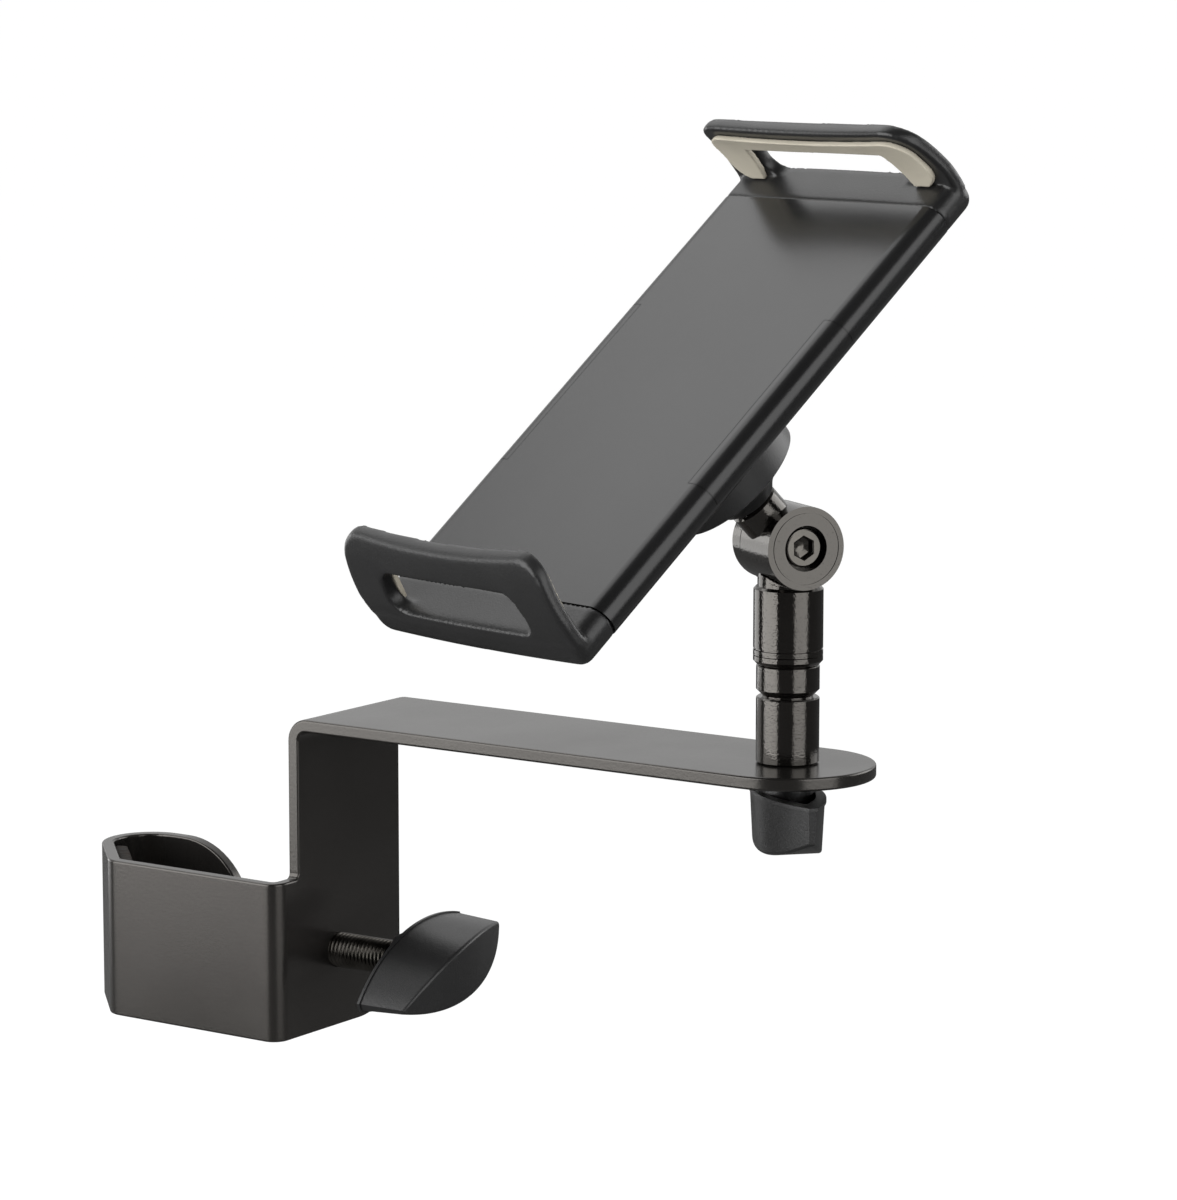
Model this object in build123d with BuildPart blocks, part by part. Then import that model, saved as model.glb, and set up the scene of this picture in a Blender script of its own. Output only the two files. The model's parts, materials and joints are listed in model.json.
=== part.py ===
import math
import os

from build123d import *

os.makedirs("parts", exist_ok=True)

# Bracket: one bent plate, origin on the axis of the clamped pole at mid-height of the clamp
pole_d = 25.4
plate_t = 3.4
arm_w = 44.8
clamp_h = 43.2
riser_h = 43.4
riser_x = 49.9
front_y = -22.85
arm_front = -13.1
post_x = 192.5
arm_bend_r = 6.0
front_bend_r = 4.6
slant_bend_r = 6.7
hook_bend_r = 13.0
riser_corner_r = 18.0
inner_corner_r = 1.5
plate_edge_r = 0.6
liner_t = 3.6

pole_r = pole_d / 2
arm_top = clamp_h / 2 + riser_h
post_y = arm_front + arm_w / 2
back_y = arm_front + arm_w

# Clamp screw and pressure pad
clamp_screw_d = 9.7
clamp_y = 4.1
clamp_z = -0.75
nut_af = 17.0
nut_t = 5.0
pad_d = 16.4
pad_x = 27.0
pad_t = 4.5
pad_rubber_t = 1.2
clamp_knob_x = 76.9
clamp_knob_turn = 20.3

# Wing knobs
knob_l = 47.4
knob_half_w = 8.25
knob_tip_w = 2.0
knob_rise = 6.0
clamp_knob_h = 20.0
post_knob_h = 15.4
knob_wall = 1.8
knob_lip = 0.35
knob_lip_h = 0.8
knob_edge_r = 0.9
knob_hub_d = 14.5
knob_hub_lift = 2.2
knob_draft = 3.0
knob_head_z = 4.0

# Post and knuckle
post_d = 16.0
post_h = 25.2
groove_z = 16.9
groove_land = 0.35
groove_depth = 1.6
spindle_d = 10.0
spindle_h = 16.4
post_screw_d = 8.0
post_thread_h = 18.0
washer_t = 1.7
post_knob_turn = -42.4
sleeve_d = 17.6
sleeve_top = 44.85
neck_r = 7.8
barrel_z = 55.4
barrel_r = 10.5
barrel_turn = 31.7
front_half = 9.6
rear_half = 6.2
disc_gap = 0.7
disc_r = 10.0
disc_t = 5.5
rod_d = 12.7
rod_rise = 47.1
rod_end = 15.1
ball_reach = 22.8
ball_r = 7.0
ball_neck_r = 3.5
pivot_d = 6.0
pivot_head_d = 10.0
pivot_head_h = 5.6
pivot_seat = 3.6
run_gap = 0.3
turn_gap = 0.05

# Holder body, in its own frame: X across, Y along, Z out of the front face
body_w = 80.84
body_t = 9.25
body_l = 137.6
split_d = 6.5
skin_t = 1.7
side_wall = 6.4
clip_l = 56.0
clip_w = 5.9
clip_t = 1.5
foot_x = -0.63
foot_y = 2.25
ball_c = -33.06
foot_rim_c = -39.1
foot_side_c = -32.6
foot_half_w = 13.4
foot_half_l = 19.8
foot_rim_r = 7.8
foot_rim_l = 7.81
socket_r = 8.2

# Jaws
jaw_reach = 11.4
wall_r = 45.0
wall_t = 3.5
wall_top = 21.6
wall_dip = 1.9
wall_knee = 13.0
wall_corner_r = 8.0
wall_edge_r = 0.8
window_side = 12.4
window_slant = 3.0
window_top = 12.0
jaw_pad_t = 1.5
jaw_pad_drop = 3.6
tongue_in = 7.1
tongue_out = 24.0
tongue_end = -36.0
gear_module = 1.0
gear_teeth = 12
gear_backlash = 0.15

half_w = body_w / 2
cavity_w = body_w - 2 * side_wall
clip_x = half_w - clip_w
jaw_end = body_l / 2 + jaw_reach
wall_centre = jaw_end - wall_r - 0.2
window_low = half_w - window_side
window_high = window_low - window_slant

# Placing of knuckle and holder
turn = math.radians(barrel_turn)
rise = math.radians(rod_rise)
knuckle_at = Plane(
    origin=(post_x, post_y, arm_top + barrel_z),
    x_dir=(math.sin(turn), math.cos(turn), 0),
    z_dir=(math.cos(turn), -math.sin(turn), 0),
)
rod_dir = Vector(-math.sin(turn) * math.cos(rise), -math.cos(turn) * math.cos(rise), math.sin(rise))
ball_at = Vector(post_x, post_y, arm_top + barrel_z) + rod_dir * ball_reach
face_out = Vector(-0.1882, -0.6141, 0.7665).normalized()
face_along = face_out.cross(Vector(0.9595, -0.2816, 0.01)).normalized()
face_side = face_along.cross(face_out)
holder_at = Plane(
    origin=ball_at - face_out * ball_c - face_along * foot_y - face_side * foot_x,
    x_dir=face_side,
    z_dir=face_out,
)

# Bracket
wall_reach = (pole_r + liner_t + plate_t / 2) * math.sqrt(2)
front_mid = front_y + plate_t / 2
tail_mid = pole_r + plate_t / 2
tail_tip = pole_r + 0.8
with BuildPart() as bracket:
    with BuildSketch(Plane.XZ.offset(-arm_front)):
        with BuildLine():
            FilletPolyline(
                (riser_x + plate_t / 2, clamp_h / 2),
                (riser_x + plate_t / 2, arm_top - plate_t / 2),
                (post_x, arm_top - plate_t / 2),
                radius=arm_bend_r - plate_t / 2,
            )
        trace(line_width=plate_t)
    extrude(amount=-arm_w)
    with BuildSketch(Plane.XY.offset(arm_top)):
        with Locations((post_x, post_y)):
            Circle(arm_w / 2)
    extrude(amount=-plate_t)
    with BuildSketch(Plane.XY):
        with BuildLine():
            FilletPolyline(
                (riser_x + plate_t / 2, back_y),
                (riser_x + plate_t / 2, front_mid),
                (-wall_reach - front_mid, front_mid),
                (-wall_reach - tail_mid, tail_mid),
                (tail_tip, tail_mid),
                radius=[front_bend_r - plate_t / 2, slant_bend_r - plate_t / 2, hook_bend_r - plate_t / 2],
            )
        trace(line_width=plate_t)
    extrude(amount=clamp_h / 2, both=True)
    with BuildSketch(Plane.XZ.offset(-pole_r + 1)):
        with Locations((tail_tip - clamp_h / 4, 0)):
            Rectangle(clamp_h / 2, clamp_h + 2)
        with Locations((tail_tip - clamp_h / 2, 0)):
            Circle(clamp_h / 2, mode=Mode.SUBTRACT)
    extrude(amount=-plate_t - 2, mode=Mode.SUBTRACT)
    low_corner = bracket.edges().filter_by(Axis.X).group_by(Axis.Z)[0].sort_by(Axis.Y)[-1]
    fillet(low_corner, riser_corner_r)
    inner_corner = bracket.edges().filter_by(Axis.X).sort_by_distance((riser_x, arm_front, clamp_h / 2))[0]
    fillet(inner_corner, inner_corner_r)
    rim_faces = bracket.faces().filter_by(lambda f: any(abs(e.length - plate_t) < 0.01 for e in f.edges()))
    rim_edges = rim_faces.edges().filter_by(lambda e: abs(e.length - plate_t) > 0.01)
    fillet(rim_edges, plate_edge_r)
    with Locations((post_x, post_y, arm_top)):
        Hole(radius=post_screw_d / 2 + 0.2, depth=plate_t)
    with BuildSketch(Plane.YZ.offset(riser_x)):
        with Locations((clamp_y, clamp_z)):
            Circle(clamp_screw_d / 2)
    extrude(amount=plate_t, mode=Mode.SUBTRACT)

liner_mid = plate_t / 2 + liner_t / 2
liner_reach = (pole_r + liner_t / 2) * math.sqrt(2)
with BuildPart() as hook_liner:
    with BuildSketch(Plane.XY):
        with BuildLine():
            FilletPolyline(
                (pad_x + 2, front_mid + liner_mid),
                (-liner_reach - front_mid - liner_mid, front_mid + liner_mid),
                (-liner_reach + 2.6, -2.6),
                radius=2.4,
            )
        trace(line_width=liner_t)
    extrude(amount=clamp_h / 2 - 1.0, both=True)

with BuildPart() as clamp_nut:
    with BuildSketch(Plane.YZ.offset(riser_x - nut_t)):
        with Locations((clamp_y, clamp_z)):
            RegularPolygon(nut_af / 2, 6, major_radius=False)
            Circle(clamp_screw_d / 2, mode=Mode.SUBTRACT)
    extrude(amount=nut_t)
    chamfer(clamp_nut.edges().group_by(Axis.X)[0].filter_by(GeomType.LINE), 0.8)

# Pressure pad and screw
cup_r = 3.8
cup_floor = pad_x + 2.2
with BuildPart() as pressure_pad:
    with BuildSketch(Plane.YZ.offset(pad_x + pad_rubber_t)):
        with Locations((clamp_y, clamp_z)):
            Circle(pad_d / 2)
    extrude(amount=2.2)
    chamfer(pressure_pad.edges().group_by(Axis.X)[-1], 0.5)
    with BuildSketch(Plane.YZ.offset(pad_x + pad_rubber_t)):
        with Locations((clamp_y, clamp_z)):
            Circle(cup_r + 2.6)
    extrude(amount=pad_t - pad_rubber_t)
    with BuildSketch(Plane.YZ.offset(pad_x + pad_t)):
        with Locations((clamp_y, clamp_z)):
            Circle(cup_r)
    extrude(amount=cup_floor - pad_x - pad_t, mode=Mode.SUBTRACT)

with BuildPart() as pad_face:
    with BuildSketch(Plane.YZ.offset(pad_x)):
        with Locations((clamp_y, clamp_z)):
            Circle(pad_d / 2)
    extrude(amount=pad_rubber_t)
    chamfer(pad_face.edges().group_by(Axis.X)[0], 0.5)

screw_head_t = 6.0
head_x = clamp_knob_x + knob_head_z
knob_turn = math.radians(clamp_knob_turn)
clamp_knob_at = Plane(
    origin=(clamp_knob_x, clamp_y, clamp_z),
    x_dir=(0, math.cos(knob_turn), math.sin(knob_turn)),
    z_dir=(1, 0, 0),
)
with BuildPart() as clamp_screw:
    with BuildSketch(Plane.YZ.offset(pad_x + pad_t + 0.6)):
        with Locations((clamp_y, clamp_z)):
            Circle(clamp_screw_d / 2 - turn_gap)
    extrude(amount=head_x - pad_x - pad_t - 0.6)
    chamfer(clamp_screw.edges().group_by(Axis.X)[0], 1.0)
    with BuildSketch(Plane.YZ.offset(cup_floor)):
        with Locations((clamp_y, clamp_z)):
            Circle(cup_r - run_gap)
    extrude(amount=pad_x + pad_t + 0.6 - cup_floor)
    with BuildSketch(Plane(origin=(head_x, clamp_y, clamp_z), x_dir=clamp_knob_at.x_dir, z_dir=(1, 0, 0))):
        RegularPolygon(nut_af / 2 - 3.0, 6, major_radius=False)
    extrude(amount=screw_head_t)

# Wing knobs in their own frame, screw side at Z 0 and crown at the top
pocket_end = knob_l / 2 - 3 * knob_wall
knob_shapes = []
for crown_h, bore_d in ((clamp_knob_h, clamp_screw_d), (post_knob_h, post_screw_d)):
    tip_h = crown_h - knob_rise
    crown_r = (knob_l ** 2 / 4 + knob_rise ** 2) / (2 * knob_rise)
    with BuildPart() as wing_knob:
        with BuildSketch(Plane.XY) as knob_outline:
            with BuildLine():
                ThreePointArc((knob_l / 2, knob_tip_w / 2), (0, knob_half_w), (-knob_l / 2, knob_tip_w / 2))
                Line((-knob_l / 2, knob_tip_w / 2), (-knob_l / 2, -knob_tip_w / 2))
                ThreePointArc((-knob_l / 2, -knob_tip_w / 2), (0, -knob_half_w), (knob_l / 2, -knob_tip_w / 2))
                Line((knob_l / 2, -knob_tip_w / 2), (knob_l / 2, knob_tip_w / 2))
            make_face()
        extrude(amount=crown_h, taper=knob_draft)
        with BuildSketch(Plane.XZ):
            with Locations((0, crown_h - crown_r)):
                Circle(crown_r)
        extrude(amount=knob_half_w + 1, both=True, mode=Mode.INTERSECT)
        crown_edges = wing_knob.faces().sort_by(Axis.Z)[-1].edges()
        fillet(crown_edges, knob_edge_r)
        with BuildSketch(Plane.XY):
            add(knob_outline.sketch)
            offset(amount=knob_lip, kind=Kind.INTERSECTION)
        extrude(amount=knob_lip_h)
        with BuildSketch(Plane.XY):
            with BuildLine():
                ThreePointArc((pocket_end, 0), (0, knob_half_w - knob_wall), (-pocket_end, 0))
                ThreePointArc((-pocket_end, 0), (0, knob_wall - knob_half_w), (pocket_end, 0))
            make_face()
            Circle(knob_hub_d / 2, mode=Mode.SUBTRACT)
        extrude(amount=tip_h - 3.0, mode=Mode.SUBTRACT)
        with BuildSketch(Plane.XY.offset(-knob_hub_lift)):
            Circle(knob_hub_d / 2)
        extrude(amount=tip_h - 2.0)
        with BuildSketch(Plane.XY.offset(-knob_hub_lift)):
            Circle(bore_d / 2)
        extrude(amount=knob_hub_lift + knob_head_z, mode=Mode.SUBTRACT)
        with BuildSketch(Plane.XY.offset(knob_head_z)):
            RegularPolygon(nut_af / 2 - 3.0, 6, major_radius=False)
        extrude(amount=screw_head_t, mode=Mode.SUBTRACT)
    knob_shapes.append(wing_knob.part)

under_arm = arm_top - plate_t
low_turn = math.radians(post_knob_turn)
post_knob_at = Plane(
    origin=(post_x, post_y, under_arm - washer_t - knob_hub_lift),
    x_dir=(math.cos(low_turn), math.sin(low_turn), 0),
    z_dir=(0, 0, -1),
)

# Post, its screw and washer
axis_x = Plane((post_x, post_y, arm_top), x_dir=(1, 0, 0), z_dir=(0, -1, 0))
post_axis = Axis((post_x, post_y, 0), (0, 0, 1))
with BuildPart() as post_stud:
    with BuildSketch(axis_x):
        with BuildLine():
            Polyline(
                (0, post_thread_h),
                (post_screw_d / 2 + turn_gap, post_thread_h),
                (post_screw_d / 2 + turn_gap, 0),
                (post_d / 2 - 0.5, 0),
                (post_d / 2, 0.5),
                (post_d / 2, groove_z - groove_land),
                (post_d / 2 - groove_land, groove_z),
                (post_d / 2 - groove_depth, groove_z),
                (post_d / 2 - groove_depth, groove_z + groove_land),
                (post_d / 2, groove_z + groove_land + groove_depth),
                (post_d / 2, post_h - 0.5),
                (post_d / 2 - 0.5, post_h),
                (spindle_d / 2, post_h),
                (spindle_d / 2, post_h + spindle_h),
                (0, post_h + spindle_h),
                close=True,
            )
        make_face()
    revolve(axis=post_axis)

with BuildPart() as knob_washer:
    with BuildSketch(Plane.XY.offset(under_arm - washer_t)):
        with Locations((post_x, post_y)):
            Circle(knob_hub_d / 2)
            Circle(post_screw_d / 2 + turn_gap, mode=Mode.SUBTRACT)
    extrude(amount=washer_t)

post_head_z = under_arm - washer_t - knob_hub_lift - knob_head_z
with BuildPart() as post_screw:
    with BuildSketch(Plane.XY.offset(post_head_z)):
        with Locations((post_x, post_y)):
            Circle(post_screw_d / 2)
    extrude(amount=arm_top + post_thread_h - 2.0 - post_head_z)
    chamfer(post_screw.edges().group_by(Axis.Z)[-1], 0.8)
    with BuildSketch(Plane(origin=(post_x, post_y, post_head_z), x_dir=post_knob_at.x_dir, z_dir=(0, 0, -1))):
        RegularPolygon(nut_af / 2 - 3.0, 6, major_radius=False)
    extrude(amount=screw_head_t)

# Knuckle: sleeve with the rear half of the barrel
with BuildPart() as knuckle_base:
    with BuildSketch(axis_x):
        with BuildLine():
            Polyline(
                (spindle_d / 2 + turn_gap, post_h),
                (sleeve_d / 2 - 0.9, post_h),
                (sleeve_d / 2, post_h + 1.0),
                (sleeve_d / 2, post_h + 2.2),
                (sleeve_d / 2 - 0.25, post_h + 2.3),
                (sleeve_d / 2, post_h + 2.4),
                (sleeve_d / 2, post_h + 3.7),
                (sleeve_d / 2 - 0.3, post_h + 3.8),
                (sleeve_d / 2 - 0.3, post_h + 4.1),
                (sleeve_d / 2, post_h + 4.2),
                (sleeve_d / 2, sleeve_top - 0.6),
                (sleeve_d / 2 - 0.6, sleeve_top),
                (neck_r, sleeve_top),
                (neck_r, barrel_z),
                (0, barrel_z),
                (0, post_h + spindle_h + 0.3),
                (spindle_d / 2 + turn_gap, post_h + spindle_h + 0.3),
                close=True,
            )
        make_face()
    revolve(axis=post_axis)
    with BuildSketch(knuckle_at):
        Circle(barrel_r)
    extrude(amount=-rear_half)
    with BuildSketch(knuckle_at):
        Circle(barrel_r + run_gap)
    extrude(amount=2 * barrel_r, mode=Mode.SUBTRACT)
    with BuildSketch(knuckle_at.offset(-rear_half)):
        Circle(barrel_r + run_gap)
    extrude(amount=-2 * barrel_r, mode=Mode.SUBTRACT)
    with BuildSketch(knuckle_at):
        Circle(pivot_d / 2 + turn_gap)
    extrude(amount=-rear_half, mode=Mode.SUBTRACT)

with BuildPart() as friction_washer:
    with BuildSketch(knuckle_at.offset(-rear_half)):
        Circle(disc_r - 0.4)
        Circle(pivot_d / 2 + turn_gap, mode=Mode.SUBTRACT)
    extrude(amount=-disc_gap)

with BuildPart() as pivot_nut:
    with BuildSketch(knuckle_at.offset(-rear_half - disc_gap)):
        Circle(disc_r)
        Circle(pivot_d / 2, mode=Mode.SUBTRACT)
    extrude(amount=-disc_t)
    chamfer(pivot_nut.edges().filter_by(GeomType.CIRCLE).sort_by(lambda e: e.radius)[-2:], 0.6)

with BuildPart() as pivot_screw:
    with BuildSketch(knuckle_at.offset(-rear_half - disc_gap - disc_t)):
        Circle(pivot_d / 2)
    extrude(amount=rear_half + disc_gap + disc_t + pivot_seat)
    with BuildSketch(knuckle_at.offset(pivot_seat)):
        Circle(pivot_head_d / 2)
    extrude(amount=pivot_head_h)
    with BuildSketch(knuckle_at.offset(pivot_seat + pivot_head_h)):
        RegularPolygon(2.5, 6, major_radius=False)
    extrude(amount=-3.0, mode=Mode.SUBTRACT)

# Front half of the barrel with rod, neck and ball
rod_at = Plane(origin=knuckle_at.origin, x_dir=knuckle_at.z_dir, z_dir=rod_dir)
with BuildPart() as rod_arm:
    with BuildSketch(rod_at):
        Circle(rod_d / 2)
    extrude(amount=rod_end)
    chamfer(rod_arm.faces().sort_by(Axis(knuckle_at.origin, rod_dir))[-1].edges(), 0.6)
    with BuildSketch(knuckle_at):
        Circle(barrel_r + run_gap)
    extrude(amount=-2 * barrel_r, mode=Mode.SUBTRACT)
    with BuildSketch(knuckle_at):
        Circle(barrel_r)
    extrude(amount=front_half)
    with BuildSketch(knuckle_at.offset(front_half)):
        Circle(9.1)
        Circle(8.8, mode=Mode.SUBTRACT)
    extrude(amount=-0.2, mode=Mode.SUBTRACT)
    with BuildSketch(knuckle_at.offset(front_half)):
        Circle(5.76)
    extrude(amount=pivot_seat - front_half, mode=Mode.SUBTRACT)
    with BuildSketch(knuckle_at):
        Circle(pivot_d / 2 + turn_gap)
    extrude(amount=front_half, mode=Mode.SUBTRACT)
    with BuildSketch(rod_at.offset(rod_end)):
        Circle(ball_neck_r)
    extrude(amount=ball_reach - rod_end)
    with Locations(Location(ball_at)):
        Sphere(ball_r)

# Holder body, built in its own frame
mouth_r = math.sqrt(socket_r ** 2 - (ball_c - foot_rim_c) ** 2)
mouth_angle = math.degrees(math.acos(mouth_r / socket_r))
foot_at = Plane(origin=(foot_x, foot_y, 0), x_dir=(1, 0, 0), z_dir=(0, -1, 0))
foot_spots = [(foot_x, foot_y + 13.2), (foot_x, foot_y - 13.2), (foot_x + 10.6, foot_y), (foot_x - 10.6, foot_y)]
with BuildPart() as foot:
    with BuildSketch(Plane.XY.offset(-body_t)):
        with Locations((foot_x, foot_y)):
            Ellipse(foot_half_w, foot_half_l)
    extrude(amount=foot_side_c + body_t)
    for step, grow in ((0.0, 1.0), (0.4, 0.42), (0.75, 0.12), (1.0, 0.0)):
        with BuildSketch(Plane.XY.offset(foot_side_c + step * (foot_rim_c - foot_side_c))):
            with Locations((foot_x, foot_y)):
                Ellipse(
                    foot_rim_r + grow * (foot_half_w - foot_rim_r),
                    foot_rim_l + grow * (foot_half_l - foot_rim_l),
                )
    loft()
    with BuildSketch(foot_at):
        with BuildLine():
            Polyline((0, -body_t), (0, foot_rim_c - 1), (mouth_r, foot_rim_c - 1), (mouth_r, foot_rim_c))
            CenterArc((0, ball_c), socket_r, -mouth_angle, mouth_angle)
            Polyline((socket_r, ball_c), (socket_r, -body_t), (0, -body_t))
        make_face()
    revolve(axis=Axis((foot_x, foot_y, 0), (0, 0, 1)), mode=Mode.SUBTRACT)
    with BuildSketch(Plane.XY.offset(-body_t)):
        with Locations(*foot_spots):
            Circle(1.3)
    extrude(amount=-9.0, mode=Mode.SUBTRACT)

with BuildPart() as socket_cap:
    with BuildSketch(Plane.XY.offset(-body_t)):
        with Locations((foot_x, foot_y)):
            Circle(socket_r)
    extrude(amount=body_t + ball_c + 4.7)
    with Locations((foot_x, foot_y, ball_c)):
        Sphere(socket_r, mode=Mode.SUBTRACT)

with BuildPart() as ball_seat:
    with Locations((foot_x, foot_y, ball_c)):
        Sphere(socket_r - run_gap)
        Sphere(ball_r + run_gap, mode=Mode.SUBTRACT)
        Box(2 * socket_r, 2 * socket_r, 10.0, mode=Mode.INTERSECT)

screw_spots = [(side * (half_w - 10.4), end * (body_l / 2 - 13.8)) for side in (-1, 1) for end in (-1, 1)]
with BuildPart() as front_shell:
    with BuildSketch(Plane.XZ):
        with Locations((0, -body_t / 2)):
            SlotOverall(body_w, body_t)
        with Locations((0, -split_d - body_t / 2)):
            Rectangle(body_w + 2, body_t, mode=Mode.SUBTRACT)
        with Locations((0, -(skin_t + split_d) / 2)):
            Rectangle(cavity_w, split_d - skin_t, mode=Mode.SUBTRACT)
    extrude(amount=body_l / 2, both=True)
    with BuildSketch(Plane.XY.offset(-skin_t)):
        for side in (-1, 1):
            with Locations((side * (tongue_out + run_gap + 1.0), 0)):
                Rectangle(2.0, body_l - 4)
            with Locations((side * (tongue_in - run_gap - 1.0), side * 52)):
                Rectangle(2.0, 28)
        with Locations(*screw_spots):
            Circle(3.0)
    extrude(amount=skin_t - split_d)
    with BuildSketch(Plane.XY.offset(-split_d)):
        with Locations(*screw_spots):
            Circle(1.3)
    extrude(amount=4.0, mode=Mode.SUBTRACT)
    with BuildSketch(Plane.XY.offset(-skin_t)):
        Circle(2.0)
    extrude(amount=0.9, mode=Mode.SUBTRACT)
    for side in (-1, 1):
        with BuildSketch(Plane.XZ):
            with Locations((0, -body_t / 2)):
                SlotOverall(body_w + 1, body_t + 1)
                SlotOverall(body_w - 2 * clip_t, body_t - 2 * clip_t, mode=Mode.SUBTRACT)
            with Locations((side * (clip_x - 0.15 + 5), -split_d / 2)):
                Rectangle(10, split_d + 2, mode=Mode.INTERSECT)
        extrude(amount=clip_l / 2 + 0.15, both=True, mode=Mode.SUBTRACT)

with BuildPart() as back_shell:
    with BuildSketch(Plane.XZ):
        with Locations((0, -body_t / 2)):
            SlotOverall(body_w, body_t)
        with Locations((0, -split_d + body_t / 2)):
            Rectangle(body_w + 2, body_t, mode=Mode.SUBTRACT)
    extrude(amount=body_l / 2, both=True)
    with BuildSketch(Plane.XY.offset(-body_t)):
        with Locations(*screw_spots):
            Circle(1.3)
        with Locations(*foot_spots):
            Circle(1.5)
    extrude(amount=body_t, mode=Mode.SUBTRACT)
    with BuildSketch(Plane.XY.offset(-body_t)):
        with Locations(*screw_spots):
            Circle(2.7)
    extrude(amount=1.6, mode=Mode.SUBTRACT)
    with BuildSketch(Plane.XY.offset(-split_d)):
        with Locations(*foot_spots):
            Circle(3.1)
    extrude(amount=-1.6, taper=45, mode=Mode.SUBTRACT)
    with BuildSketch(Plane.XY.offset(-split_d)):
        Circle(2.0)
    extrude(amount=-1.5, mode=Mode.SUBTRACT)

with BuildPart() as shell_screws:
    with BuildSketch(Plane.XY.offset(-body_t + 1.6)):
        with Locations(*screw_spots):
            Circle(2.5)
    extrude(amount=-1.4)
    with BuildSketch(Plane.XY.offset(-body_t + 1.6)):
        with Locations(*screw_spots):
            Circle(1.3)
    extrude(amount=5.0)

with BuildPart() as foot_screws:
    with BuildSketch(Plane.XY.offset(-split_d)):
        with Locations(*foot_spots):
            Circle(3.0)
    extrude(amount=-1.5, taper=45)
    with BuildSketch(Plane.XY.offset(-split_d)):
        with Locations(*foot_spots):
            Circle(1.3)
    extrude(amount=-11.0)

with BuildPart() as side_clip_right:
    with BuildSketch(Plane.XZ):
        with Locations((0, -body_t / 2)):
            SlotOverall(body_w, body_t)
            SlotOverall(body_w - 2 * clip_t, body_t - 2 * clip_t, mode=Mode.SUBTRACT)
        with Locations((clip_x + 5, -split_d / 2 + 1.05)):
            Rectangle(10, split_d + 2, mode=Mode.INTERSECT)
    extrude(amount=clip_l / 2, both=True)

with BuildPart() as side_clip_left:
    add(side_clip_right.part)
    mirror(about=Plane.YZ, mode=Mode.REPLACE)

with BuildPart() as pinion_pin:
    with BuildSketch(Plane.XY.offset(-split_d - 1.5)):
        Circle(2.0)
    extrude(amount=split_d + 1.5 - skin_t + 0.9)

# Pinion with involute flanks, and the racks on the tongues
pitch_r = gear_module * gear_teeth / 2
base_r = pitch_r * math.cos(math.radians(20))
tip_r = pitch_r + 0.8 * gear_module
root_r = pitch_r - 1.1 * gear_module
half_tooth = math.pi / (2 * gear_teeth) - gear_backlash / 2 / pitch_r
pitch_inv = math.tan(math.radians(20)) - math.radians(20)
flank = []
for step in range(6):
    flank_r = base_r + (tip_r - base_r) * step / 5
    press = math.acos(base_r / flank_r)
    flank.append((flank_r, half_tooth + pitch_inv - (math.tan(press) - press)))
gear_pts = []
for tooth in range(gear_teeth):
    mid = 2 * math.pi * tooth / gear_teeth
    root_half = flank[0][1]
    rim = [(root_r, -root_half)] + [(r, -a) for r, a in flank]
    rim += [(r, a) for r, a in reversed(flank)] + [(root_r, root_half)]
    gear_pts += [(r * math.cos(mid + a), r * math.sin(mid + a)) for r, a in rim]
with BuildPart() as pinion:
    with BuildSketch(Plane.XY.offset(-skin_t - 0.3)):
        with BuildLine():
            Polyline(*gear_pts, close=True)
        make_face()
        Circle(2.0 + turn_gap, mode=Mode.SUBTRACT)
    extrude(amount=-2.6)

coil_turns = 3
coil_pts = []
for step in range(coil_turns * 16 + 1):
    swing = 2 * math.pi * step / 16
    coil_r = 2.5 + 2.3 * step / (coil_turns * 16)
    coil_pts.append((coil_r * math.cos(swing), coil_r * math.sin(swing)))
with BuildPart() as return_spring:
    with BuildSketch(Plane.XY.offset(-split_d + 0.1)):
        with BuildLine():
            Polyline(*coil_pts)
        trace(line_width=0.3)
    extrude(amount=1.3)

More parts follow.
